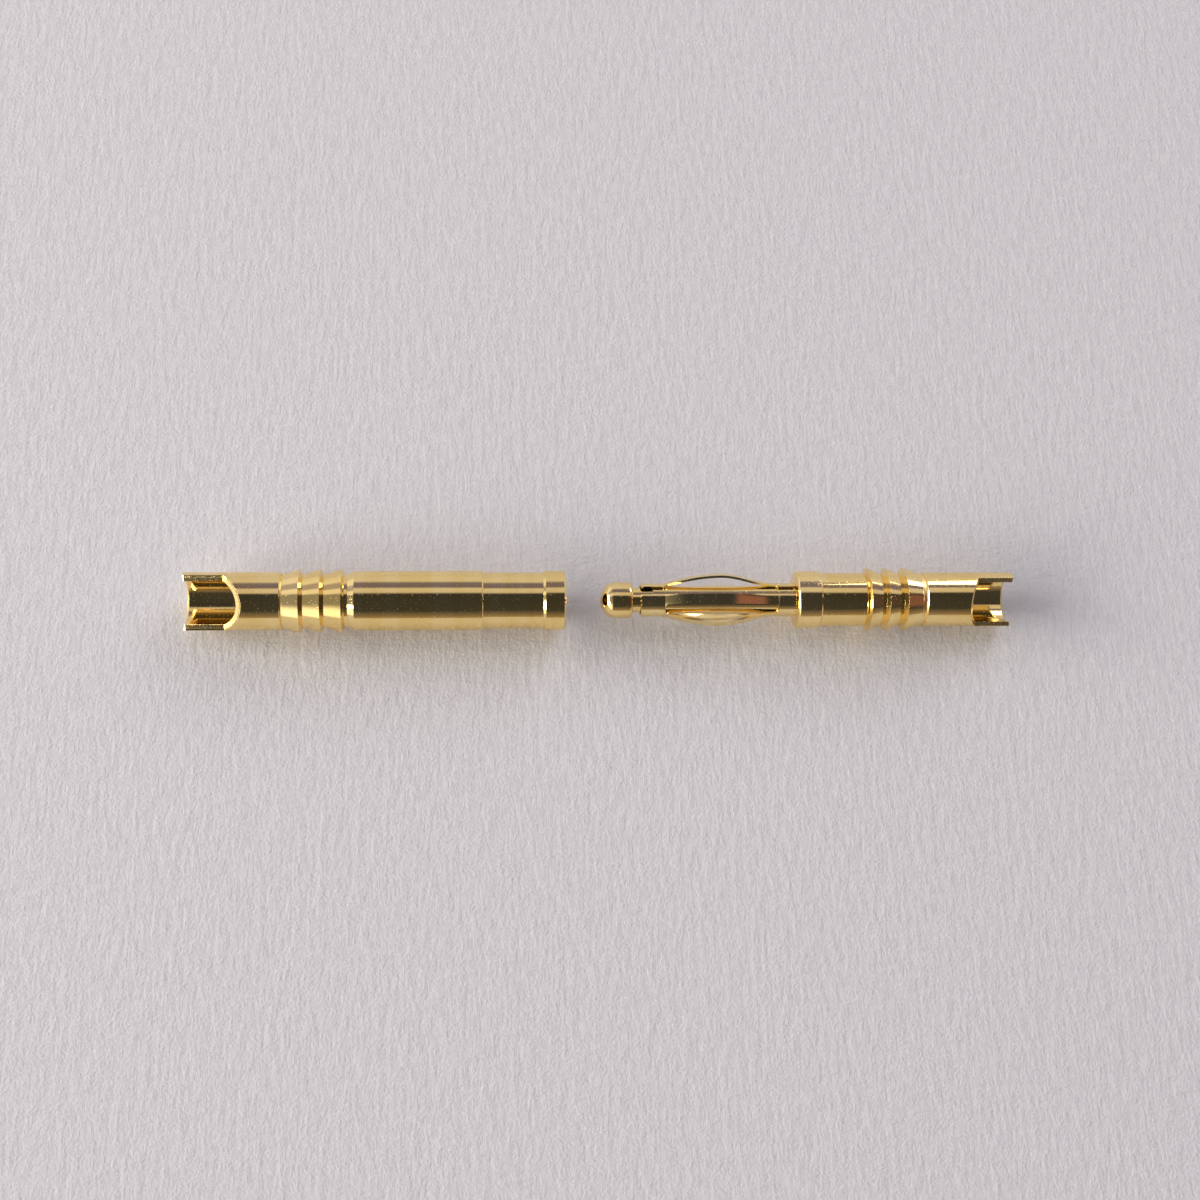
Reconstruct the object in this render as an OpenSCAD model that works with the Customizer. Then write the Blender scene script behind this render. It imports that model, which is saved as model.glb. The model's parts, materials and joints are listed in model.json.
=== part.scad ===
// Battery lead connector, 4 mm size: a turned socket and a turned plug that
// carries a spring cage.  Both halves lie on a flat surface, end to end on one
// axis along X, pulled apart by a short gap.  All lengths are in millimetres.

/* [Layout] */
// Gap between the socket's mouth and the tip of the plug
pull_gap = 3.0; // [0.5:0.1:20]
// How far the socket's solder cup is rolled from facing up towards the front
socket_roll = 22; // [0:1:60]
// How far the plug's solder cup is rolled from facing up towards the front
plug_roll = 55; // [0:1:80]
// How far the spring cage's first leaf is rolled towards the front
cage_roll = 20; // [0:1:80]

/* [Turned bodies] */
// Diameter of the socket's collar and barrel
barrel_d = 5.0; // [4.8:0.05:6]
// Diameter of the plug's collar
collar_d = 4.88; // [4.75:0.01:6]
// Diameter of the socket's waist, between its barrel and its collar
waist_d = 4.74; // [4.5:0.02:4.8]
// Diameter of the plug's shank, between its collar and its barbs
shank_d = 4.56; // [4.4:0.02:4.7]
// Length of the socket's barrel
barrel_len = 10.6; // [8:0.1:16]
// Length of the socket's waist
waist_len = 5.0; // [2:0.05:8]
// Length of the socket's collar
socket_collar_len = 1.85; // [0.8:0.05:4]
// Length of the plug's collar
plug_collar_len = 2.1; // [0.8:0.05:4]
// Length of the plug's shank
shank_len = 3.9; // [2:0.1:8]
// Chamfer on the turned edges
edge_chamfer = 0.12; // [0.02:0.01:0.14]

/* [Barbs] */
// Number of barbs on each half
barb_count = 3; // [1:1:4]
// Distance from one barb to the next on the socket
socket_pitch = 1.73; // [1.2:0.01:2.2]
// Distance from one barb to the next on the plug
plug_pitch = 1.54; // [1.2:0.01:2.2]
// Diameter over the barbs' crests
crest_d = 5.36; // [5.1:0.02:6]
// Diameter at the foot of each of the socket's barbs
socket_foot_d = 4.46; // [4.3:0.02:4.6]
// Diameter at the foot of each of the plug's barbs
plug_foot_d = 4.36; // [4.2:0.02:4.5]
// Length of the steep shoulder behind each crest
shoulder_len = 0.22; // [0.05:0.01:0.5]
// Length of the flare between the socket's last barb and its barrel
flare_len = 0.6; // [0.2:0.05:2]
// Length of the plug's run-out cone between its last barb and its cup
runout_len = 1.75; // [1.2:0.05:3]

/* [Solder cups] */
// Outer diameter of the socket's cup
socket_cup_d = 4.84; // [4.7:0.02:5]
// Outer diameter of the plug's cup
plug_cup_d = 4.64; // [4.6:0.02:5]
// Bore of the cups
cup_bore_d = 3.9; // [3:0.05:4.2]
// Length of the socket's cup tube
socket_cup_len = 8.1; // [6.5:0.1:12]
// Length of the plug's cup tube
plug_cup_len = 7.7; // [6.5:0.1:12]
// Depth of the cups' bores
cup_depth = 7.4; // [6:0.1:8]
// Length of the cup that is cut away to a half round trough
trough_len = 3.3; // [1:0.1:3.6]
// Height of the trough's walls above the axis
trough_rise = 0.1; // [-0.6:0.05:0.8]
// Length over which the cut runs out to the full tube
cut_slant_len = 1.5; // [0.5:0.1:2]
// Countersink at the mouth of the cups
cup_countersink = 0.18; // [0.05:0.01:0.25]

/* [Mating bore and pin] */
// Bore of the socket, the nominal size of the connector
socket_bore_d = 4.0; // [3.9:0.01:4.1]
// Clearance between the end of the pin and the bottom of the bore
bore_end_clear = 0.8; // [0.2:0.1:1.5]
// Lead-in chamfer at the mouth of the bore
mouth_chamfer = 0.25; // [0.05:0.01:0.3]
// Gap between the collar and the mouth when the plug is pushed home
home_clear = 0.05; // [0.02:0.01:0.2]
// Diameter of the pin's head
head_d = 3.04; // [2.9:0.02:3.4]
// Length of the round nose of the head
nose_len = 1.18; // [0.6:0.05:1.6]
// Length of the straight part of the head
head_len = 1.22; // [0.5:0.05:2]
// Radius on the back edge of the head
head_back_r = 0.25; // [0.05:0.01:0.4]
// Diameter of the neck behind the head
neck_d = 2.06; // [1.6:0.02:2.2]
// Diameter of the core that carries the spring cage
core_d = 2.34; // [2.2:0.02:2.5]
// Free length of neck that lets the cage grow when it is squeezed
cage_play = 0.72; // [0.3:0.05:1.5]

/* [Spring cage] */
// Thickness of the rolled sheet
sheet_t = 0.2; // [0.12:0.01:0.26]
// Clearance between the cage's bands and the core, on the radius
cage_fit = 0.04; // [0.01:0.01:0.08]
// Length of the front band
front_band_len = 2.0; // [1:0.05:3]
// Length of the rear band
rear_band_len = 1.5; // [1:0.05:3]
// Length of the leaves between the bands
leaf_len = 9.6; // [7:0.1:14]
// Number of leaves
leaf_count = 4; // [3:1:4]
// Width of each leaf
leaf_w = 0.88; // [0.6:0.02:1]
// Free diameter over the bowed leaves
bulge_d = 4.42; // [4.1:0.02:4.7]
// Radius in the corners of the slots
slot_corner_r = 0.32; // [0.1:0.01:0.35]
// Width of the seam where the rolled sheet's edges face each other
seam_w = 0.62; // [0.2:0.02:0.7]
// Radius on the corners of the sheet at the seam
seam_corner_r = 0.2; // [0.05:0.01:0.3]

/* [Hidden] */
$fn = 96;
ARC_STEPS = 16;      // points along a rounded edge
BOW_STEPS = 20;      // points along each half of a bowed leaf
CUT = 1;             // how far cutting shapes run past what they cut
DRILL_POINT = 118;   // included angle of a drill's point, degrees

gold = [0.86, 0.67, 0.27];
gold_bright = [0.92, 0.76, 0.38];

// Stations along X, counted from the cup end of the socket.
barrel_x = socket_cup_len + barb_count * socket_pitch + shoulder_len + flare_len;
waist_x = barrel_x + barrel_len;
socket_collar_x = waist_x + waist_len;
socket_len = socket_collar_x + socket_collar_len;
tip_x = socket_len + pull_gap;
cage_len = front_band_len + leaf_len + rear_band_len;
head_total = nose_len + head_len + head_back_r;
pin_len = head_total + cage_play + cage_len;
collar_x = tip_x + pin_len;
shank_x = collar_x + plug_collar_len;
plug_barbs_x = shank_x + shank_len;
plug_cup_x = plug_barbs_x + shoulder_len + (barb_count - 1) * plug_pitch + runout_len;
row_len = plug_cup_x + plug_cup_len;
bore_depth = pin_len + home_clear + bore_end_clear;
cage_x = tip_x + head_total + cage_play;

// The row is centred on X and lies on the crests of its barbs.
axis_z = crest_d / 2;

band_inner_r = core_d / 2 + cage_fit;
band_r = band_inner_r + sheet_t;
bulge_r = bulge_d / 2;

// Points of a quarter round from angle a0 to a1 about [r, x].
function arc_points(r, x, rad_r, rad_x, a0, a1) =
    [for (i = [0 : ARC_STEPS])
        let (a = a0 + (a1 - a0) * i / ARC_STEPS)
        [r + rad_r * cos(a), x + rad_x * sin(a)]];

// A barb whose cone rises along +X from x and whose shoulder drops after it.
function barb_up(x) = [
    [socket_foot_d / 2, x],
    [crest_d / 2, x + socket_pitch - shoulder_len],
    [socket_foot_d / 2, x + socket_pitch]
];

// A barb whose shoulder faces -X at x and whose cone falls along +X.
function barb_down(x, cone_len) = [
    [plug_foot_d / 2, x],
    [crest_d / 2, x + shoulder_len],
    [plug_foot_d / 2, x + shoulder_len + cone_len]
];

// A turned collar or tube from x0 to x1, with a chamfer at each end asked for.
function turned(r, x0, x1, c0, c1) = [
    [r - c0, x0],
    [r, x0 + c0],
    [r, x1 - c1],
    [r - c1, x1]
];

// How far a leaf stands out along its length, 0 at the bands and 1 at its
// crown.  It springs straight up from the front band and eases into the rear.
function bow(u) = u < 0 ? 1 - pow(-u, 1.9) : (1 + cos(180 * u)) / 2;

function bow_points(r_foot, r_crown) =
    [for (i = [-BOW_STEPS : BOW_STEPS])
        let (u = i / BOW_STEPS)
        [r_foot + (r_crown - r_foot) * bow(u),
            front_band_len + leaf_len * (1 + u) / 2]];

// Places a shape made along +Z on the row's axis, from station x along +X.
module on_axis(x) {
    translate([x - row_len / 2, 0, axis_z]) rotate([0, 90, 0]) children();
}

// A blind hole from z = 0 up +Z with the cone that a drill leaves.
module drilled(d, depth) {
    translate([0, 0, -CUT]) cylinder(d = d, h = depth + CUT);
    translate([0, 0, depth])
        cylinder(d1 = d, d2 = 0, h = d / 2 / tan(DRILL_POINT / 2));
}

// The conical mouth of a hole of diameter d at z = 0.
module countersink(d, c) {
    translate([0, 0, -CUT])
        cylinder(d1 = d + 2 * (c + CUT), d2 = d, h = c + CUT);
}

// What is milled off a solder cup of diameter d: all above the trough's walls,
// with a slanted run-out.  The cup's open end is at z = 0, its opening at -x.
module cup_cut(d) {
    rotate([90, 0, 0]) linear_extrude(height = 2 * d, center = true)
        polygon([
            [-trough_rise, -CUT],
            [-trough_rise, trough_len],
            [-d, trough_len + 2 * cut_slant_len],
            [-d, -CUT]
        ]);
}

// The bore, countersink and milled opening of one solder cup.
module cup_hollow(d, roll) {
    drilled(cup_bore_d, cup_depth);
    countersink(cup_bore_d, cup_countersink);
    rotate([0, 0, roll]) cup_cut(d);
}

module socket_body() {
    profile = concat(
        [[0, 0]],
        turned(socket_cup_d / 2, 0, socket_cup_len, edge_chamfer, edge_chamfer / 2),
        [for (i = [0 : barb_count - 1]) each barb_up(socket_cup_len + i * socket_pitch)],
        [[socket_foot_d / 2, barrel_x - flare_len]],
        turned(barrel_d / 2, barrel_x, waist_x, 0, edge_chamfer / 2),
        turned(waist_d / 2, waist_x, socket_collar_x, 0, 0),
        turned(barrel_d / 2, socket_collar_x, socket_len, edge_chamfer, edge_chamfer),
        [[0, socket_len]]
    );
    color(gold) on_axis(0) difference() {
        rotate_extrude() polygon(profile);
        cup_hollow(socket_cup_d, socket_roll);
        translate([0, 0, socket_len]) mirror([0, 0, 1]) {
            drilled(socket_bore_d, bore_depth);
            countersink(socket_bore_d, mouth_chamfer);
        }
    }
}

// The pin's outline from the tip of its nose to the collar.
function pin_profile() = let (core_x = head_total + cage_play + front_band_len / 2) concat(
    arc_points(0, nose_len, head_d / 2, nose_len, -90, 0),
    arc_points(head_d / 2 - head_back_r, nose_len + head_len, head_back_r, head_back_r, 0, 90),
    turned(neck_d / 2, head_total, core_x, 0, 0),
    turned(core_d / 2, core_x, pin_len, 0, 0)
);

// The outline from the plug's collar to the open end of its cup.
function lead_profile() = let (last = barb_count - 1) concat(
    turned(collar_d / 2, collar_x, shank_x, edge_chamfer, edge_chamfer),
    turned(shank_d / 2, shank_x, plug_barbs_x, 0, edge_chamfer),
    [for (i = [0 : last]) each barb_down(plug_barbs_x + i * plug_pitch,
        i < last ? plug_pitch - shoulder_len : runout_len)],
    turned(plug_cup_d / 2, plug_cup_x, row_len, edge_chamfer / 2, edge_chamfer),
    [[0, row_len]]
);

module plug_body() {
    lead = [for (p = lead_profile()) [p[0], p[1] - tip_x]];
    color(gold) on_axis(tip_x) difference() {
        rotate_extrude() polygon(concat(pin_profile(), lead));
        translate([0, 0, row_len - tip_x]) mirror([0, 0, 1])
            cup_hollow(plug_cup_d, plug_roll);
    }
}

// A square corner of side r at the origin, less the round that fills it.
module corner_fillet(r) {
    difference() {
        translate([-r / 2, -r / 2]) square(r * 3 / 2);
        translate([r, r]) circle(r = r);
    }
}

// One leaf's strip seen flat, with its root fillets: x across, y along the
// axis.  The first leaf runs straight on into the seam, so it has none there.
module leaf_strip(at_seam) {
    translate([-leaf_w / 2, front_band_len - slot_corner_r])
        square([leaf_w, leaf_len + 2 * slot_corner_r]);
    for (side = at_seam ? [1] : [0, 1], end = [0, 1])
        mirror([side, 0]) translate([-leaf_w / 2, front_band_len + end * leaf_len])
            mirror([1, 0]) mirror([0, end]) corner_fillet(slot_corner_r);
}

// The seam through one band seen flat: a slit beside the first leaf, with the
// far edge's corners rounded off.
module seam_slit(band_len) {
    far_edge = leaf_w / 2 + seam_w;
    translate([-far_edge, -CUT]) square([seam_w, band_len + 2 * CUT]);
    for (end = [0, 1])
        translate([-far_edge, end * band_len]) mirror([1, 0]) mirror([0, end])
            corner_fillet(seam_corner_r);
}

// Stands a flat shape up through the sheet, rolled to face the first leaf.
module through_sheet(turn) {
    rotate([0, 0, turn + cage_roll]) rotate([0, -90, 0]) rotate([0, 0, -90])
        linear_extrude(height = bulge_d) children();
}

module cage_band(z, band_len) {
    translate([0, 0, z]) difference() {
        cylinder(r = band_r, h = band_len);
        translate([0, 0, -CUT]) cylinder(r = band_inner_r, h = band_len + 2 * CUT);
        through_sheet(0) seam_slit(band_len);
    }
}

module cage_leaf(i) {
    outer = bow_points(band_r, bulge_r);
    inner = bow_points(band_inner_r, bulge_r - sheet_t);
    intersection() {
        rotate_extrude()
            polygon(concat(outer, [for (k = [len(inner) - 1 : -1 : 0]) inner[k]]));
        through_sheet(i * 360 / leaf_count) leaf_strip(i == 0);
    }
}

module spring_cage() {
    color(gold_bright) on_axis(cage_x) {
        cage_band(0, front_band_len);
        cage_band(front_band_len + leaf_len, rear_band_len);
        for (i = [0 : leaf_count - 1])
            cage_leaf(i);
    }
}

socket_body();
plug_body();
spring_cage();
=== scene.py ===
"""The looks of a 4 mm battery lead connector: a turned socket, a turned plug
and the plug's spring cage, gold plated, lying on pale paper."""

import json
import math

import bmesh
import bpy
from bpy.props import FloatProperty, FloatVectorProperty, IntProperty, PointerProperty
from mathutils import Matrix, Vector


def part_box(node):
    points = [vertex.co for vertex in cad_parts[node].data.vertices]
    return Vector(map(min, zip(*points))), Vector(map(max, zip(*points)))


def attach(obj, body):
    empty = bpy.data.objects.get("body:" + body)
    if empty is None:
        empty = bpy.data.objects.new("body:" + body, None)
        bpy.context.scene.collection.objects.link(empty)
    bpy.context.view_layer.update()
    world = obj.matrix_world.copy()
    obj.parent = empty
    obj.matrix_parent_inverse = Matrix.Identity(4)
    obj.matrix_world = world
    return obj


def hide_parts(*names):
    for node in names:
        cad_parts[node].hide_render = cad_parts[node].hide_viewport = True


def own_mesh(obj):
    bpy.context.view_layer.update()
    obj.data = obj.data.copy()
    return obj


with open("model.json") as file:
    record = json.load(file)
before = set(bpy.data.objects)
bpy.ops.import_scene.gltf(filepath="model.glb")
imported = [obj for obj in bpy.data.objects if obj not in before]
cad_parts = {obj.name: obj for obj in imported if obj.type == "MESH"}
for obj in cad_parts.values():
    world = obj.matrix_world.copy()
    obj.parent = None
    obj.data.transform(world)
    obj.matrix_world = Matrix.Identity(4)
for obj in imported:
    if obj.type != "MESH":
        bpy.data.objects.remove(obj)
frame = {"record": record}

bl_info = {
    "name": "Battery Lead Connector",
    "version": (1, 0, 0),
    "blender": (4, 5, 0),
    "location": "View3D > Sidebar > Connector",
    "description": "Builds a gold-plated plug and socket with a spring cage",
    "category": "Add Mesh",
}

MM = 0.001
POINT_HALF_ANGLE = math.radians(59)  # of the drills that made the blind bores
CUP_ZONE = 26 * MM  # the cups lie farther than this from the row's middle
LEAF_FLATTENING = 0.8  # share of the roll that a leaf loses at its crown
FRONT_RISE = 1.9  # power of the leaf's curve from its front root

SOCKET_LO, SOCKET_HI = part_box("socket_body")
PLUG_LO, PLUG_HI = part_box("plug_body")
CAGE_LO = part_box("spring_cage")[0]
AXIS_Z = (SOCKET_LO.z + SOCKET_HI.z) / 2
CREST_R = (SOCKET_HI.z - SOCKET_LO.z) / 2
MOUNTS = {m["name"]: m for m in frame["record"]["mounts"]}
BORE_R = MOUNTS["socket_bore"]["dims"]["r_mm"] * MM
CUP_BORE_R = MOUNTS["socket_cup"]["dims"]["r_mm"] * MM


# ---------------------------------------------------------------- properties

def length(mm, name, about):
    return FloatProperty(name=name, description=about, default=mm * MM,
                         min=0.0, unit="LENGTH", precision=5)


def angle(degrees, name, about):
    return FloatProperty(name=name, description=about,
                         default=math.radians(degrees), unit="ROTATION")


def colour(rgb, name, about):
    return FloatVectorProperty(name=name, description=about, default=rgb,
                               size=3, min=0.0, max=1.0, subtype="COLOR")


class CupSettings(bpy.types.PropertyGroup):
    """What the two solder cups share."""
    depth: length(7.4, "Bore Depth", "Depth of a cup's bore")
    corner: length(0.3, "Wall Corner", "Round on the end corners of a trough's walls")
    milled_r: length(2.29, "Milled Radius", "Radius inside which a cup is duller")
    countersink: length(0.18, "Countersink", "Chamfer at the mouth of the bore")
    chamfer: length(0.12, "Edge Chamfer", "Chamfer on the turned edges")
    edge: length(0.03, "Edge Round", "Round left on every edge by the plating")
    segments: IntProperty(name="Segments", description="Faces round a turned body",
                          default=256, min=48)


class SocketSettings(bpy.types.PropertyGroup):
    """Sizes of the turned socket, read from its cup end."""
    roll: angle(30, "Cup Roll", "How far the cup's opening is rolled to the front")
    trough: length(3.4, "Trough Length", "Length milled away to a trough")
    rise: length(0.75, "Trough Rise", "Height of the trough's walls above the axis")
    slant: length(2.3, "Slant Length", "Length over which the cut runs out")
    cup_d: length(4.84, "Cup Diameter", "Outer diameter of the cup")
    cup_len: length(8.1, "Cup Length", "Length of the cup's tube")
    foot_d: length(4.46, "Barb Foot", "Diameter at the foot of each barb")
    pitch: length(1.73, "Barb Pitch", "Distance from barb to barb")
    shoulder: length(0.22, "Shoulder", "Length of the steep side of a barb")
    flare: length(0.6, "Flare", "Cone between the last barb and the barrel")
    barrel_d: length(5.0, "Barrel Diameter", "Diameter of the barrel and collar")
    barrel_len: length(10.6, "Barrel Length", "Length of the barrel")
    waist_d: length(4.74, "Waist Diameter", "Diameter between barrel and collar")
    waist_len: length(5.0, "Waist Length", "Length of the waist")
    collar_edge: length(0.2, "Collar Edge", "Chamfer on the collar's inner end")
    mouth_chamfer: length(0.25, "Mouth Chamfer", "Lead-in at the mating bore")
    bore_depth: length(17.32, "Bore Depth", "Depth of the mating bore")
    barbs: IntProperty(name="Barbs", description="Number of barbs", default=3)


class PlugSettings(bpy.types.PropertyGroup):
    """Sizes of the turned plug, read from the tip of its nose."""
    roll: angle(36, "Cup Roll", "How far the cup's opening is rolled to the front")
    trough: length(3.1, "Trough Length", "Length milled away to a trough")
    rise: length(0.9, "Trough Rise", "Height of the trough's walls above the axis")
    slant: length(1.5, "Slant Length", "Length over which the cut runs out")
    nose: length(1.18, "Nose Length", "Length of the round nose")
    head_d: length(3.04, "Head Diameter", "Diameter of the pin's head")
    head_len: length(1.22, "Head Length", "Length of the head's straight part")
    head_back: length(0.25, "Head Back Radius", "Round on the back of the head")
    neck_d: length(2.06, "Neck Diameter", "Diameter of the neck")
    core_d: length(2.34, "Core Diameter", "Diameter of the core in the cage")
    core_start: length(4.37, "Core Start", "Where the core begins, from the tip")
    pin_len: length(16.47, "Pin Length", "From the tip to the collar")
    collar_d: length(4.88, "Collar Diameter", "Diameter of the collar")
    collar_len: length(2.1, "Collar Length", "Length of the collar")
    collar_round: length(0.3, "Collar Round", "Round on the collar's face")
    shank_d: length(4.56, "Shank Diameter", "Diameter of the shank")
    foot_d: length(4.36, "Barb Foot", "Diameter at the foot of each barb")
    pitch: length(1.54, "Barb Pitch", "Distance from barb to barb")
    shoulder: length(0.22, "Shoulder", "Length of the steep side of a barb")
    runout: length(1.75, "Run-out", "Length of the last barb's cone")
    cup_d: length(4.64, "Cup Diameter", "Outer diameter of the cup")
    cup_len: length(7.7, "Cup Length", "Length of the cup's tube")
    barbs: IntProperty(name="Barbs", description="Number of barbs", default=3)


class CageSettings(bpy.types.PropertyGroup):
    """Sizes of the rolled spring cage, read from its front edge."""
    roll: angle(17.1, "Cage Roll", "How far the first leaf is rolled to the front")
    sheet: length(0.2, "Sheet Thickness", "Thickness of the rolled sheet")
    band_d: length(2.82, "Band Diameter", "Outer diameter of the bands")
    front_len: length(2.0, "Front Band", "Length of the front band")
    leaf_len: length(9.6, "Leaf Length", "Length of the leaves")
    rear_len: length(1.5, "Rear Band", "Length of the rear band")
    step: angle(71.5, "Leaf Step", "Turn from one leaf to the next")
    stray: angle(-9, "Stray", "How far the leaf at the back sits off its place")
    crown_d: length(4.42, "Crown Diameter", "Diameter over the bowed leaves")
    leaf_w: length(0.86, "Leaf Width", "Width of each leaf")
    fillet: length(0.32, "Slot Corner", "Radius in the corners of the slots")
    seam_w: length(0.82, "Seam Width", "Gap where the sheet's edges meet")
    seam_r: length(0.2, "Seam Corner", "Round on the sheet's far corners")
    edge: length(0.02, "Edge Round", "Round left on the sheet's edges")
    leaves: IntProperty(name="Leaves", description="Number of leaves", default=5)


class FinishSettings(bpy.types.PropertyGroup):
    """Colours of the plating and of the paper."""
    body_gold: colour((1.0, 0.76, 0.33), "Turned Gold", "Plating on the turned pieces")
    spring_gold: colour((1.0, 0.79, 0.38), "Spring Gold", "Plating on the spring sheet")
    paper: colour((0.73, 0.72, 0.73), "Paper", "The surface that the halves lie on")


class StageSettings(bpy.types.PropertyGroup):
    """Where the camera stands, measured from the middle of the row."""
    elevation: angle(70, "Elevation", "Height of the camera above the horizon")
    swing: angle(4.44, "Swing", "How far the row runs away from the camera")
    tilt: angle(-0.16, "Tilt", "Turn of the view in its own plane")
    distance: length(140.8, "Distance", "From the camera to the row")
    aim_x: FloatProperty(name="Aim X", description="Station that the camera looks at",
                         default=-0.35 * MM, unit="LENGTH")
    aim_z: FloatProperty(name="Aim Height", description="Height that the camera looks at",
                         default=0.05 * MM, unit="LENGTH")
    lens: FloatProperty(name="Lens", description="Focal length on a 36 mm sensor",
                        default=50.2, unit="CAMERA")


# ------------------------------------------------------------- node helpers

def feed(tree, socket, value):
    """Sets a socket from a plain value, or joins another socket to it."""
    if isinstance(value, bpy.types.NodeSocket):
        tree.links.new(value, socket)
    else:
        socket.default_value = value


def calc(tree, operation, *values):
    """A Math node of either kind of tree; returns its output."""
    node = tree.nodes.new("ShaderNodeMath")
    node.operation = operation
    for socket, value in zip(node.inputs, values):
        feed(tree, socket, value)
    return node.outputs[0]


def noise(tree, vector, scale, detail=2.0, rough=0.5):
    node = tree.nodes.new("ShaderNodeTexNoise")
    node.inputs["Scale"].default_value = scale
    node.inputs["Detail"].default_value = detail
    node.inputs["Roughness"].default_value = rough
    tree.links.new(vector, node.inputs["Vector"])
    return node.outputs["Fac"]


def remap(tree, value, a, b, c, d):
    node = tree.nodes.new("ShaderNodeMapRange")
    node.interpolation_type = "SMOOTHSTEP"
    for socket, v in zip(node.inputs, (value, a, b, c, d)):
        feed(tree, socket, v)
    return node.outputs["Result"]


def mixed(tree, factor, a, b, blend="MIX"):
    """Mixes two colours, whose sockets a Mix node keeps at places 6 and 7."""
    node = tree.nodes.new("ShaderNodeMix")
    node.data_type = "RGBA"
    node.blend_type = blend
    for place, value in ((0, factor), (6, a), (7, b)):
        feed(tree, node.inputs[place], value)
    return node.outputs[2]


def stretched(tree, coords, sx, sy, sz):
    node = tree.nodes.new("ShaderNodeMapping")
    node.inputs["Scale"].default_value = (sx, sy, sz)
    tree.links.new(coords, node.inputs["Vector"])
    return node.outputs["Vector"]


# ---------------------------------------------------------------- materials

def plated_gold(name, base, rough, mark_depth, marks_along, cup_r=0.0):
    """Bright gold plate: turning or rolling marks, pits and a soft waviness.
    Where a cup radius is given, the milled tops of the cups' walls are duller."""
    material = bpy.data.materials.new(name)
    material.use_nodes = True
    tree = material.node_tree
    shader = tree.nodes["Principled BSDF"]
    shader.inputs["Metallic"].default_value = 1.0
    coords = tree.nodes.new("ShaderNodeTexCoord").outputs["Object"]

    # Marks run round a turned piece, so they vary along X alone.
    fine = noise(tree, stretched(tree, coords, *marks_along), 1.0, 3.0, 0.6)
    coarse = noise(tree, stretched(tree, coords, 600, 60, 60), 1.0, 1.0)
    pits = noise(tree, stretched(tree, coords, 9000, 9000, 9000), 1.0, 0.0)
    pit_mask = remap(tree, pits, 0.70, 0.80, 0.0, 1.0)

    inside = 0.0
    if cup_r:
        place = tree.nodes.new("ShaderNodeSeparateXYZ")
        tree.links.new(coords, place.inputs[0])
        x, y, z = place.outputs
        z = calc(tree, "SUBTRACT", z, AXIS_Z)
        radius = calc(tree, "SQRT", calc(tree, "ADD", calc(tree, "MULTIPLY", y, y),
                                         calc(tree, "MULTIPLY", z, z)))
        at_end = calc(tree, "GREATER_THAN", calc(tree, "ABSOLUTE", x), CUP_ZONE)
        inside = calc(tree, "MULTIPLY", at_end, calc(tree, "MULTIPLY", calc(
            tree, "LESS_THAN", radius, cup_r),
            calc(tree, "GREATER_THAN", radius, CUP_BORE_R + 0.02 * MM)))
    tooled = noise(tree, stretched(tree, coords, 2500, 2500, 2500), 1.0, 3.0, 0.7)

    bump = tree.nodes.new("ShaderNodeBump")
    bump.inputs["Strength"].default_value = 1.0
    bump.inputs["Distance"].default_value = mark_depth
    height = calc(tree, "ADD", fine, calc(tree, "MULTIPLY", coarse, 2.0))
    height = calc(tree, "SUBTRACT", height, pit_mask)
    height = calc(tree, "ADD", height, calc(tree, "MULTIPLY", tooled,
                                            calc(tree, "MULTIPLY", inside, 14.0)))
    feed(tree, bump.inputs["Height"], height)
    tree.links.new(bump.outputs["Normal"], shader.inputs["Normal"])

    dull = calc(tree, "ADD", calc(tree, "MULTIPLY", pit_mask, 0.25),
                calc(tree, "MULTIPLY", inside, 0.2))
    feed(tree, shader.inputs["Roughness"],
         calc(tree, "ADD", remap(tree, fine, 0.3, 0.7, rough, rough * 1.8), dull))

    deeper = (base[0] * 0.96, base[1] * 0.93, base[2] * 0.82, 1)
    feed(tree, shader.inputs["Base Color"],
         mixed(tree, remap(tree, coarse, 0.35, 0.65, 0.0, 1.0), (*base, 1), deeper))
    return material


def grained_paper(name, base):
    """Matt paper with a pressed grain of fine ribs and fibres."""
    material = bpy.data.materials.new(name)
    material.use_nodes = True
    tree = material.node_tree
    shader = tree.nodes["Principled BSDF"]
    shader.inputs["Roughness"].default_value = 0.9
    shader.inputs["Specular IOR Level"].default_value = 0.15
    coords = tree.nodes.new("ShaderNodeTexCoord").outputs["Object"]
    across = noise(tree, stretched(tree, coords, 500, 1800, 900), 1.0, 2.0)
    down = noise(tree, stretched(tree, coords, 1700, 480, 900), 1.0, 2.0)
    fibre = noise(tree, stretched(tree, coords, 3800, 3800, 3800), 1.0, 3.0, 0.65)
    grain = calc(tree, "ADD", calc(tree, "ADD", across, down), fibre)
    bump = tree.nodes.new("ShaderNodeBump")
    bump.inputs["Strength"].default_value = 1.0
    bump.inputs["Distance"].default_value = 0.05 * MM
    feed(tree, bump.inputs["Height"], grain)
    tree.links.new(bump.outputs["Normal"], shader.inputs["Normal"])
    feed(tree, shader.inputs["Base Color"],
         mixed(tree, remap(tree, grain, 1.2, 1.8, 0.0, 1.0),
               (*(c * 0.975 for c in base), 1),
               (*(min(1.0, c * 1.025) for c in base), 1)))
    return material


# ------------------------------------------------------------- turned bodies

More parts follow.
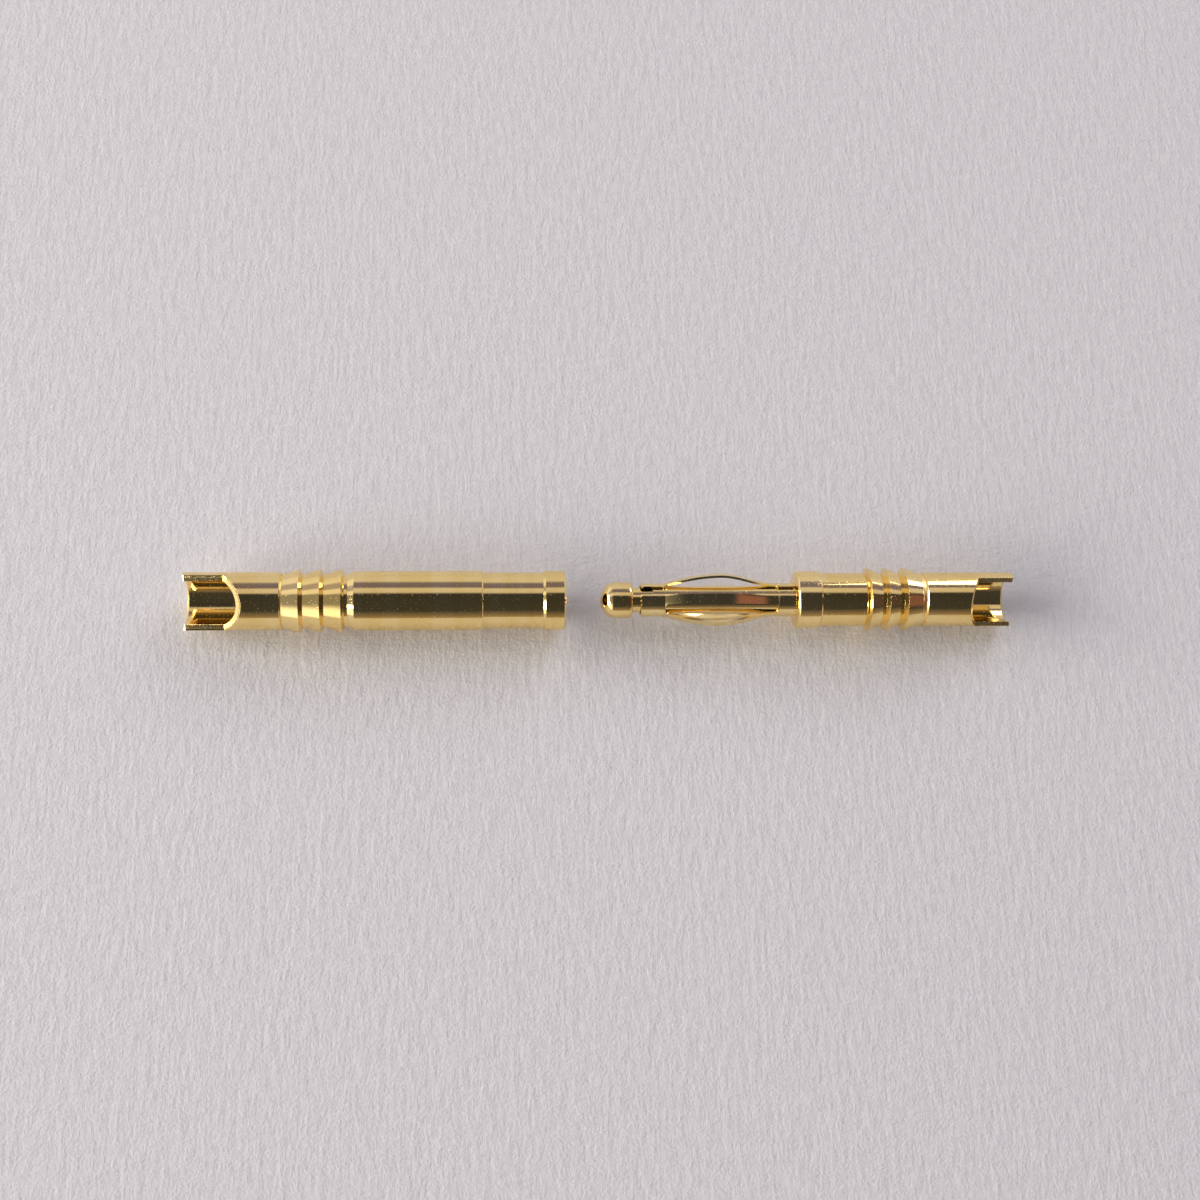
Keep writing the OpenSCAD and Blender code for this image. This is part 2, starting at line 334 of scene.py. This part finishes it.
class Turned:
    """A skin of rings about the row's axis.  A ring is a list of (x, r, turn)
    points, where turn is measured from the cup's opening."""

    def __init__(self, roll):
        self.mesh = bmesh.new()
        self.roll = roll

    def point(self, x, r, turn):
        a = turn + self.roll
        return self.mesh.verts.new((x, -r * math.sin(a), AXIS_Z + r * math.cos(a)))

    def ring(self, stations, radius, turns):
        return [self.point(x, radius, t) for x, t in zip(stations, turns)]

    def join(self, one, two, closed=True):
        n = len(one)
        for i in range(n if closed else n - 1):
            j = (i + 1) % n
            self.mesh.faces.new((one[i], one[j], two[j], two[i]))

    def close(self, ring, x):
        """Ends a ring in a pole on the axis."""
        pole = self.mesh.verts.new((x, 0.0, AXIS_Z))
        n = len(ring)
        for i in range(n):
            self.mesh.faces.new((ring[i], ring[(i + 1) % n], pole))


def turns_about(edge, total, opening):
    """Angles round a cup, with a point exactly on each edge of its opening."""
    over = [edge * (2 * i / opening - 1) for i in range(opening + 1)]
    rest = total - opening
    under = [edge + (2 * math.pi - 2 * edge) * i / rest for i in range(1, rest)]
    return over + under


def cup(body, cups, cut, end_x, inward, outer_r, inner_r, tube_len):
    """A solder cup: its tube, trough, slanted cut and blind bore.  Returns the
    ring at the closed end of the tube's outer wall."""
    opening = cups.segments // 2
    total = cups.segments
    shut = list(range(opening, total)) + [0]

    def cut_x(r, turn):
        high = max(0.0, r * math.cos(turn) - cut.rise)
        return cut.trough + cut.slant * high / outer_r

    def shy(d):
        """How far a trough's wall is rounded down at this distance from its end."""
        left = max(0.0, cups.corner - d)
        return cups.corner - math.sqrt(cups.corner ** 2 - left ** 2)

    walls = {}
    for key, r in (("outer", outer_r), ("inner", inner_r)):
        turns = turns_about(math.acos(cut.rise / r), total, opening)
        chamfer = cups.chamfer if key == "outer" else cups.countersink
        far = tube_len - cups.chamfer / 2 if key == "outer" else cups.depth
        lip_r = r - chamfer if key == "outer" else r + chamfer
        at = lambda d: end_x + inward * d
        side = []
        for d in (0.0, chamfer, *(cups.corner * k / 6 for k in range(4, 7)),
                  cut.trough * 0.4, cut.trough * 0.7):
            at_r = lip_r if d == 0.0 else r
            edge_turns = turns_about(math.acos((cut.rise - shy(d)) / at_r), total, opening)
            side.append([body.point(at(d), at_r, edge_turns[i]) for i in shut])
        start = [body.point(at(cut_x(r, t)), r, t) for t in turns]
        side.append([start[i] for i in shut])
        for one, two in zip(side, side[1:]):
            body.join(one, two, closed=False)
        rings = [start]
        for share in (0.2, 0.45, 0.7, 1.0):
            rings.append([body.point(at(cut_x(r, t) + (far - cut_x(r, t)) * share), r, t)
                          for t in turns])
        for one, two in zip(rings, rings[1:]):
            body.join(one, two)
        walls[key] = (side, start, rings[-1])
    (out_side, out_start, out_end), (in_side, in_start, in_end) = walls.values()
    body.join(out_side[0], in_side[0], closed=False)
    body.join(out_start[:opening + 1], in_start[:opening + 1], closed=False)
    for end in (0, -1):
        for k in range(len(out_side) - 1):
            body.mesh.faces.new((out_side[k][end], out_side[k + 1][end],
                                 in_side[k + 1][end], in_side[k][end]))
    point_len = inner_r / math.tan(POINT_HALF_ANGLE)
    body.close(in_end, end_x + inward * (cups.depth + point_len))
    return out_end


def turn_profile(body, ring, profile, segments):
    """Carries a ring along a profile of (x, r) points; returns the last ring."""
    turns = [math.atan2(-v.co.y, v.co.z - AXIS_Z) - body.roll for v in ring]
    for x, r in profile:
        following = body.ring([x] * segments, r, turns)
        body.join(ring, following)
        ring = following
    return ring


def finish_skin(name, skin, material, edge, sharp=20):
    """Turns a skin into a piece with rounded edges and true smooth shading."""
    bmesh.ops.remove_doubles(skin, verts=skin.verts, dist=1e-8)
    bmesh.ops.recalc_face_normals(skin, faces=skin.faces)
    data = bpy.data.meshes.new(name)
    skin.to_mesh(data)
    skin.free()
    piece = bpy.data.objects.new(name, data)
    bpy.context.scene.collection.objects.link(piece)
    data.materials.append(material)
    data.shade_smooth()
    bevel = piece.modifiers.new("rounded_edges", "BEVEL")
    bevel.width = edge
    bevel.segments = 3
    bevel.limit_method = "ANGLE"
    bevel.angle_limit = math.radians(sharp)
    bevel.harden_normals = True
    bevel.use_clamp_overlap = True
    return piece


def mirrored_arc(x, r, rad_x, rad_r, a0, a1, steps):
    """Points of an elliptical quarter round about (x, r), angles in degrees."""
    span = [math.radians(a0 + (a1 - a0) * i / steps) for i in range(steps + 1)]
    return [(x + rad_x * math.sin(a), r + rad_r * math.cos(a)) for a in span]


def make_socket(cups, s, material):
    body = Turned(s.roll)
    x0 = SOCKET_LO.x
    ring = cup(body, cups, s, x0, 1, s.cup_d / 2, CUP_BORE_R, s.cup_len)
    c = cups.chamfer
    at = x0 + s.cup_len
    profile = [(at, s.cup_d / 2 - c / 2)]
    for k in range(s.barbs):
        start = at + k * s.pitch
        profile += [(start, s.foot_d / 2),
                    (start + s.pitch - s.shoulder, CREST_R),
                    (start + s.pitch, s.foot_d / 2)]
    barrel = at + s.barbs * s.pitch + s.shoulder + s.flare
    waist = barrel + s.barrel_len
    collar = waist + s.waist_len
    end = SOCKET_HI.x
    profile += [(barrel - s.flare, s.foot_d / 2), (barrel, s.barrel_d / 2)]
    profile += [(waist - c / 2, s.barrel_d / 2), (waist, s.barrel_d / 2 - c / 2),
                (waist, s.waist_d / 2), (collar, s.waist_d / 2),
                (collar, s.barrel_d / 2 - c), (collar + s.collar_edge, s.barrel_d / 2),
                (end - c, s.barrel_d / 2), (end, s.barrel_d / 2 - c),
                (end, BORE_R + s.mouth_chamfer), (end - s.mouth_chamfer, BORE_R),
                (end - s.bore_depth, BORE_R)]
    profile = without_repeats(profile)
    ring = turn_profile(body, ring, profile, cups.segments)
    body.close(ring, end - s.bore_depth - BORE_R / math.tan(POINT_HALF_ANGLE))
    return finish_skin("socket_turned", body.mesh, material, cups.edge)


def without_repeats(profile):
    kept = [profile[0]]
    for p in profile[1:]:
        if max(abs(p[0] - kept[-1][0]), abs(p[1] - kept[-1][1])) > 1e-7:
            kept.append(p)
    return kept


def make_plug(cups, p, material):
    body = Turned(p.roll)
    end, tip = PLUG_HI.x, PLUG_LO.x
    ring = cup(body, cups, p, end, -1, p.cup_d / 2, CUP_BORE_R, p.cup_len)
    c = cups.chamfer
    cup_x = end - p.cup_len
    profile = [(cup_x, p.cup_d / 2 - c / 2), (cup_x, p.foot_d / 2)]
    crest = cup_x - p.runout
    for k in range(p.barbs):
        profile += [(crest, CREST_R), (crest - p.shoulder, p.foot_d / 2)]
        crest -= p.pitch
    shank_end = crest + p.pitch - p.shoulder
    collar = tip + p.pin_len
    shank = collar + p.collar_len
    profile += [(shank_end, p.shank_d / 2 - c), (shank_end - c, p.shank_d / 2),
                (shank, p.shank_d / 2), (shank, p.collar_d / 2 - c),
                (shank - c, p.collar_d / 2)]
    profile += mirrored_arc(collar + p.collar_round, p.collar_d / 2 - p.collar_round,
                            p.collar_round, p.collar_round, 0, -90, 8)
    profile += [(collar, p.core_d / 2), (tip + p.core_start, p.core_d / 2),
                (tip + p.core_start, p.neck_d / 2)]
    back = tip + p.nose + p.head_len
    profile += [(back + p.head_back, p.neck_d / 2)]
    profile += mirrored_arc(back, p.head_d / 2 - p.head_back, p.head_back,
                            p.head_back, 90, 0, 6)
    nose = mirrored_arc(tip + p.nose, 0.0, p.nose, p.head_d / 2, 0, -90, 24)
    profile += nose[:-1]
    ring = turn_profile(body, ring, without_repeats(profile), cups.segments)
    body.close(ring, tip)
    return finish_skin("plug_turned", body.mesh, material, cups.edge)


# ---------------------------------------------------------------- spring cage

def sheet_piece(name, data, cage, material):
    """Gives a bare sheet its thickness, inwards, and rounds its long edges."""
    piece = bpy.data.objects.new(name, data)
    bpy.context.scene.collection.objects.link(piece)
    if not data.materials:
        data.materials.append(material)
    data.shade_smooth()
    thick = piece.modifiers.new("sheet", "SOLIDIFY")
    thick.thickness = cage.sheet
    thick.offset = -1
    bevel = piece.modifiers.new("rounded_edges", "BEVEL")
    bevel.width = cage.edge
    bevel.segments = 2
    bevel.limit_method = "ANGLE"
    bevel.angle_limit = math.radians(40)
    bevel.harden_normals = True
    return piece


def make_band(name, cage, start, length_x, material):
    """One split band: a rolled strip with round corners at the seam."""
    r = cage.band_d / 2
    near = -cage.leaf_w / 2 / r
    span = 2 * math.pi - cage.seam_w / r
    skin = bmesh.new()
    columns = []
    count = 160
    corner = cage.seam_r
    for i in range(count + 1):
        share = i / count
        share = 1 - (1 - share) ** 1.3
        from_far = (1 - share) * span * r
        inset = 0.0
        if from_far < corner:
            inset = corner - math.sqrt(max(0.0, corner ** 2 - (corner - from_far) ** 2))
        turn = cage.roll + near + share * span
        column = []
        for j in range(9):
            x = start + inset + (length_x - 2 * inset) * j / 8
            column.append(skin.verts.new((x, -r * math.sin(turn),
                                          AXIS_Z + r * math.cos(turn))))
        columns.append(column)
    for one, two in zip(columns, columns[1:]):
        for j in range(8):
            skin.faces.new((one[j], one[j + 1], two[j + 1], two[j]))
    outwards(skin)
    data = bpy.data.meshes.new(name)
    skin.to_mesh(data)
    skin.free()
    return sheet_piece(name, data, cage, material)


def outwards(skin):
    """Turns every face of an open sheet away from the row's axis."""
    skin.normal_update()
    for face in skin.faces:
        middle = face.calc_center_median()
        away = Vector((0.0, middle.y, middle.z - AXIS_Z))
        if face.normal.dot(away) < 0:
            face.normal_flip()


def leaf_tree(material):
    """Geometry Nodes that bend a flat grid into one bowed leaf and set it round
    the core.  The leaf widens into a fillet at each root."""
    tree = bpy.data.node_groups.new("bowed_leaf", "GeometryNodeTree")
    face = tree.interface
    face.new_socket("Geometry", in_out="OUTPUT", socket_type="NodeSocketGeometry")
    for name in ("Start", "Leaf Length", "Leaf Width", "Foot Radius", "Crown Height",
                 "Fillet", "Seam Side", "Turn", "Axis Height"):
        face.new_socket(name, in_out="INPUT", socket_type="NodeSocketFloat")
    face.new_socket("Across", in_out="INPUT", socket_type="NodeSocketInt")
    face.new_socket("Along", in_out="INPUT", socket_type="NodeSocketInt")
    given = tree.nodes.new("NodeGroupInput").outputs
    done = tree.nodes.new("NodeGroupOutput").inputs["Geometry"]
    grid = tree.nodes.new("GeometryNodeMeshGrid")
    grid.inputs["Size X"].default_value = 1.0
    grid.inputs["Size Y"].default_value = 1.0
    feed(tree, grid.inputs["Vertices X"], given["Along"])
    feed(tree, grid.inputs["Vertices Y"], given["Across"])
    place = tree.nodes.new("ShaderNodeSeparateXYZ")
    tree.links.new(tree.nodes.new("GeometryNodeInputPosition").outputs[0], place.inputs[0])
    x, y = place.outputs["X"], place.outputs["Y"]

    # u runs from -1 at the front root to 1 at the rear, with more rows there.
    u = calc(tree, "SINE", calc(tree, "MULTIPLY", x, math.pi))
    span = calc(tree, "ABSOLUTE", u)
    front = calc(tree, "SUBTRACT", 1.0, calc(tree, "POWER", span, FRONT_RISE))
    rear = calc(tree, "MULTIPLY", 0.5,
                calc(tree, "ADD", 1.0, calc(tree, "COSINE",
                                            calc(tree, "MULTIPLY", u, math.pi))))
    is_front = calc(tree, "LESS_THAN", u, 0.0)
    bow = calc(tree, "ADD", calc(tree, "MULTIPLY", front, is_front),
               calc(tree, "MULTIPLY", rear, calc(tree, "SUBTRACT", 1.0, is_front)))

    # The fillet adds to the half width within one radius of a root.
    to_root = calc(tree, "MULTIPLY", calc(tree, "SUBTRACT", 1.0, span),
                   calc(tree, "MULTIPLY", given["Leaf Length"], 0.5))
    short = calc(tree, "MAXIMUM", 0.0, calc(tree, "SUBTRACT", given["Fillet"], to_root))
    fillet_sq = calc(tree, "MULTIPLY", given["Fillet"], given["Fillet"])
    chord = calc(tree, "SQRT", calc(tree, "MAXIMUM", 0.0, calc(
        tree, "SUBTRACT", fillet_sq, calc(tree, "MULTIPLY", short, short))))
    flare = calc(tree, "SUBTRACT", given["Fillet"], chord)
    on_seam = calc(tree, "MULTIPLY", given["Seam Side"], calc(tree, "GREATER_THAN", y, 0.0))
    flare = calc(tree, "MULTIPLY", flare, calc(tree, "SUBTRACT", 1.0, on_seam))
    half = calc(tree, "ADD", calc(tree, "MULTIPLY", given["Leaf Width"], 0.5), flare)
    aside = calc(tree, "DIVIDE", calc(tree, "MULTIPLY", calc(tree, "MULTIPLY", y, 2.0), half),
                 given["Foot Radius"])
    # The bowed middle is flatter across than the rolled roots.
    level = calc(tree, "COSINE", aside)
    level = calc(tree, "ADD", level, calc(tree, "MULTIPLY", bow, calc(
        tree, "MULTIPLY", LEAF_FLATTENING, calc(tree, "SUBTRACT", 1.0, level))))
    out = calc(tree, "ADD", calc(tree, "MULTIPLY", given["Foot Radius"], level),
               calc(tree, "MULTIPLY", given["Crown Height"], bow))
    over = calc(tree, "MULTIPLY", given["Foot Radius"], calc(tree, "SINE", aside))
    along = calc(tree, "ADD", given["Start"],
                 calc(tree, "MULTIPLY", calc(tree, "ADD", 1.0, u),
                      calc(tree, "MULTIPLY", given["Leaf Length"], 0.5)))
    bent = tree.nodes.new("ShaderNodeCombineXYZ")
    for socket, value in zip(bent.inputs, (along, over, out)):
        feed(tree, socket, value)
    shape = tree.nodes.new("GeometryNodeSetPosition")
    tree.links.new(grid.outputs["Mesh"], shape.inputs["Geometry"])
    tree.links.new(bent.outputs[0], shape.inputs["Position"])

    # One instance, turned about the axis and lifted to it.
    points = tree.nodes.new("GeometryNodePoints")
    points.inputs["Count"].default_value = 1
    lift = tree.nodes.new("ShaderNodeCombineXYZ")
    feed(tree, lift.inputs["Z"], given["Axis Height"])
    tree.links.new(lift.outputs[0], points.inputs["Position"])
    spin = tree.nodes.new("ShaderNodeCombineXYZ")
    feed(tree, spin.inputs["X"], given["Turn"])
    put = tree.nodes.new("GeometryNodeInstanceOnPoints")
    tree.links.new(points.outputs[0], put.inputs["Points"])
    tree.links.new(shape.outputs[0], put.inputs["Instance"])
    tree.links.new(spin.outputs[0], put.inputs["Rotation"])
    real = tree.nodes.new("GeometryNodeRealizeInstances")
    tree.links.new(put.outputs[0], real.inputs[0])
    paint = tree.nodes.new("GeometryNodeSetMaterial")
    paint.inputs["Material"].default_value = material
    tree.links.new(real.outputs[0], paint.inputs["Geometry"])
    tree.links.new(paint.outputs[0], done)
    return tree


def grow(name, tree, **values):
    """Runs a Geometry Nodes tree with its inputs set by identifier, and returns
    the baked mesh."""
    holder = bpy.data.objects.new(name, bpy.data.meshes.new(name + "_seed"))
    bpy.context.scene.collection.objects.link(holder)
    modifier = holder.modifiers.new("grow", "NODES")
    modifier.node_group = tree
    ids = {s.name: s.identifier for s in tree.interface.items_tree if s.in_out == "INPUT"}
    for key, value in values.items():
        modifier[ids[key.replace("_", " ")]] = value
    graph = bpy.context.evaluated_depsgraph_get()
    baked = bpy.data.meshes.new_from_object(holder.evaluated_get(graph))
    bpy.data.objects.remove(holder)
    baked.name = name
    return baked


def make_leaves(cage, material):
    tree = leaf_tree(material)
    leaves = []
    for k in range(cage.leaves):
        turn = cage.roll + k * cage.step + (cage.stray if k == cage.leaves - 2 else 0.0)
        data = grow(f"cage_leaf_{k + 1}", tree,
                    Start=CAGE_LO.x + cage.front_len, Leaf_Length=cage.leaf_len,
                    Leaf_Width=cage.leaf_w, Foot_Radius=cage.band_d / 2,
                    Crown_Height=(cage.crown_d - cage.band_d) / 2,
                    Fillet=cage.fillet, Seam_Side=1.0 if k == 0 else 0.0,
                    Turn=turn, Axis_Height=AXIS_Z, Across=9, Along=97)
        skin = bmesh.new()
        skin.from_mesh(data)
        outwards(skin)
        skin.to_mesh(data)
        skin.free()
        leaves.append((sheet_piece(f"cage_leaf_{k + 1}", data, cage, material), turn))
    return leaves


# ---------------------------------------------------------------- the stage

def soft_box(name, direction, distance, width, height, radiance, tint=(1, 1, 1)):
    """A rectangular soft box that faces the row.  A box of this radiance shows
    at about that level in a mirror, whatever its size."""
    light = bpy.data.lights.new(name, "AREA")
    light.shape = "RECTANGLE"
    light.size = width
    light.size_y = height
    light.energy = radiance * math.pi * width * height
    light.color = tint
    lamp = bpy.data.objects.new(name, light)
    towards = Vector(direction).normalized()
    lamp.location = towards * distance + Vector((0, 0, AXIS_Z))
    lamp.rotation_mode = "QUATERNION"
    lamp.rotation_quaternion = towards.to_track_quat("Z", "Y")
    bpy.context.scene.collection.objects.link(lamp)
    return lamp


def light_stage():
    soft_box("key_light", (-0.95, -0.12, 0.30), 1.00, 0.95, 0.36, 14.0, (1.0, 0.97, 0.93))
    soft_box("fill_light", (0.55, 0.75, 0.55), 0.80, 0.40, 0.36, 3.6, (0.97, 0.98, 1.0))


def window(tree, value, a, b, c, d):
    """Rises from 0 to 1 between a and b and falls back between c and d."""
    return calc(tree, "MINIMUM", remap(tree, value, a, b, 0.0, 1.0),
                remap(tree, value, c, d, 1.0, 0.0))


def light_world():
    """The room round the paper, as bands that run along the row: dark in front
    and overhead, a pale strip and a pale wall behind, a soft glow at the left."""
    world = bpy.data.worlds.new("room")
    bpy.context.scene.world = world
    world.use_nodes = True
    tree = world.node_tree
    ground = tree.nodes["Background"]
    split = tree.nodes.new("ShaderNodeSeparateXYZ")
    tree.links.new(tree.nodes.new("ShaderNodeTexCoord").outputs["Generated"],
                   split.inputs[0])
    x, y, z = split.outputs
    over = calc(tree, "ARCTAN2", z, calc(tree, "MULTIPLY", y, -1.0))
    over = calc(tree, "MULTIPLY", over, 180 / math.pi)

    ramp = tree.nodes.new("ShaderNodeValToRGB")
    bands = ((0, (0.34, 0.27, 0.20)), (10, (0.22, 0.17, 0.13)),
             (18, (0.15, 0.13, 0.12)), (30, (0.05, 0.05, 0.055)),
             (96, (0.04, 0.04, 0.05)), (103, (0.62, 0.58, 0.60)),
             (117, (0.66, 0.62, 0.64)), (124, (0.17, 0.15, 0.27)),
             (142, (0.20, 0.18, 0.30)), (152, (0.66, 0.64, 0.68)),
             (180, (0.62, 0.60, 0.64)))
    stops = ramp.color_ramp.elements
    while len(stops) < len(bands):
        stops.new(1.0)
    for stop, (degrees, rgb) in zip(stops, bands):
        stop.position = degrees / 180
        stop.color = (*rgb, 1)
    feed(tree, ramp.inputs[0], calc(tree, "DIVIDE", over, 180.0))

    left = remap(tree, x, -0.26, -0.62, 0.0, 1.0)
    low = window(tree, over, -22.0, 14.0, 14.0, 66.0)
    glow = calc(tree, "MULTIPLY", left, remap(tree, low, 0.0, 1.0, 0.25, 1.5))
    warm = calc(tree, "MULTIPLY", window(tree, x, 0.40, 0.58, 0.66, 0.88),
                window(tree, over, 28.0, 50.0, 82.0, 100.0))
    light = ramp.outputs["Color"]
    for amount, rgb in ((glow, (1.0, 0.96, 0.92)), (warm, (0.21, 0.075, 0.06))):
        scaled = tree.nodes.new("ShaderNodeVectorMath")
        scaled.operation = "SCALE"
        scaled.inputs[0].default_value = rgb
        feed(tree, scaled.inputs["Scale"], amount)
        light = mixed(tree, 1.0, light, scaled.outputs[0], "ADD")
    tree.links.new(light, ground.inputs["Color"])


def lay_paper(material):
    data = bpy.data.meshes.new("paper")
    half = 1.5
    data.from_pydata([(-half, -half, 0), (half, -half, 0), (half, half, 0),
                      (-half, half, 0)], [], [(0, 1, 2, 3)])
    data.materials.append(material)
    paper = bpy.data.objects.new("paper", data)
    bpy.context.scene.collection.objects.link(paper)


def set_camera(stage):
    """Stands the camera over the row, looking down at it from the front."""
    e, s = stage.elevation, stage.swing
    look = Vector((math.sin(s), math.cos(s) * math.cos(e), -math.cos(s) * math.sin(e)))
    right = Vector((math.cos(s), -math.sin(s) * math.cos(e), math.sin(s) * math.sin(e)))
    up = right.cross(look)
    right, up = (right * math.cos(stage.tilt) + up * math.sin(stage.tilt),
                 up * math.cos(stage.tilt) - right * math.sin(stage.tilt))
    camera = bpy.data.objects.new("camera", bpy.data.cameras.new("camera"))
    bpy.context.scene.collection.objects.link(camera)
    camera.data.lens = stage.lens
    camera.data.sensor_width = 36.0
    camera.data.clip_start = 0.005
    camera.data.clip_end = 20.0
    aim = Vector((stage.aim_x, 0.0, AXIS_Z + stage.aim_z))
    turn = Matrix((right, up, -look)).transposed().to_4x4()
    camera.matrix_world = Matrix.Translation(aim - look * stage.distance) @ turn
    bpy.context.scene.camera = camera


# ---------------------------------------------------------------- operators

class CONNECTOR_OT_stage(bpy.types.Operator):
    """Lays the paper, hangs the lights and stands the camera"""
    bl_idname = "connector.stage"
    bl_label = "Stage"

    def execute(self, context):
        scene = context.scene
        scene.view_settings.view_transform = "Standard"
        lay_paper(grained_paper("grained_paper", scene.connector_finish.paper))
        light_world()
        light_stage()
        set_camera(scene.connector_stage)
        return {"FINISHED"}


class CONNECTOR_OT_socket(bpy.types.Operator):
    """Builds the turned socket"""
    bl_idname = "connector.socket"
    bl_label = "Socket"

    def execute(self, context):
        scene = context.scene
        gold = plated_gold("turned_gold", scene.connector_finish.body_gold, 0.055,
                           0.0012 * MM, (9000, 40, 40),
                           scene.connector_cups.milled_r)
        piece = make_socket(scene.connector_cups, scene.connector_socket, gold)
        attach(piece, "socket")
        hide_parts("socket_body")
        return {"FINISHED"}


class CONNECTOR_OT_plug(bpy.types.Operator):
    """Builds the turned plug"""
    bl_idname = "connector.plug"
    bl_label = "Plug"

    def execute(self, context):
        scene = context.scene
        gold = bpy.data.materials["turned_gold"]
        piece = make_plug(scene.connector_cups, scene.connector_plug, gold)
        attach(piece, "plug")
        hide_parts("plug_body")
        return {"FINISHED"}


class CONNECTOR_OT_cage(bpy.types.Operator):
    """Builds the spring cage: two split bands and the bowed leaves"""
    bl_idname = "connector.cage"
    bl_label = "Spring Cage"

    def execute(self, context):
        scene = context.scene
        cage = scene.connector_cage
        gold = plated_gold("spring_gold", scene.connector_finish.spring_gold, 0.05,
                           0.0008 * MM, (300, 4000, 4000))
        rear = CAGE_LO.x + cage.front_len + cage.leaf_len
        front_band = make_band("cage_front_band", cage, CAGE_LO.x, cage.front_len, gold)
        rear_band = make_band("cage_rear_band", cage, rear, cage.rear_len, gold)
        for band in (front_band, rear_band):
            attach(band, "plug")
            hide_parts("spring_cage")
        for leaf, turn in make_leaves(cage, gold):
            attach(leaf, "plug")
            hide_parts("spring_cage")
            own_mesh(leaf)
        return {"FINISHED"}


class CONNECTOR_PT_panel(bpy.types.Panel):
    """Lists what builds the connector"""
    bl_idname = "CONNECTOR_PT_panel"
    bl_label = "Connector"
    bl_space_type = "VIEW_3D"
    bl_region_type = "UI"
    bl_category = "Connector"

    def draw(self, context):
        for operator in OPERATORS:
            self.layout.operator(operator.bl_idname)


SETTINGS = {
    "connector_cups": CupSettings,
    "connector_socket": SocketSettings,
    "connector_plug": PlugSettings,
    "connector_cage": CageSettings,
    "connector_finish": FinishSettings,
    "connector_stage": StageSettings,
}
OPERATORS = (CONNECTOR_OT_stage, CONNECTOR_OT_socket, CONNECTOR_OT_plug,
             CONNECTOR_OT_cage)


def register():
    for cls in (*SETTINGS.values(), *OPERATORS, CONNECTOR_PT_panel):
        bpy.utils.register_class(cls)
    for name, group in SETTINGS.items():
        setattr(bpy.types.Scene, name, PointerProperty(type=group))


def unregister():
    for name in SETTINGS:
        delattr(bpy.types.Scene, name)
    for cls in reversed((*SETTINGS.values(), *OPERATORS, CONNECTOR_PT_panel)):
        bpy.utils.unregister_class(cls)


def main():
    register()
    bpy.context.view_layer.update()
    bpy.ops.connector.stage()
    bpy.ops.connector.socket()
    bpy.ops.connector.plug()
    bpy.ops.connector.cage()


if __name__ == "__main__":
    main()
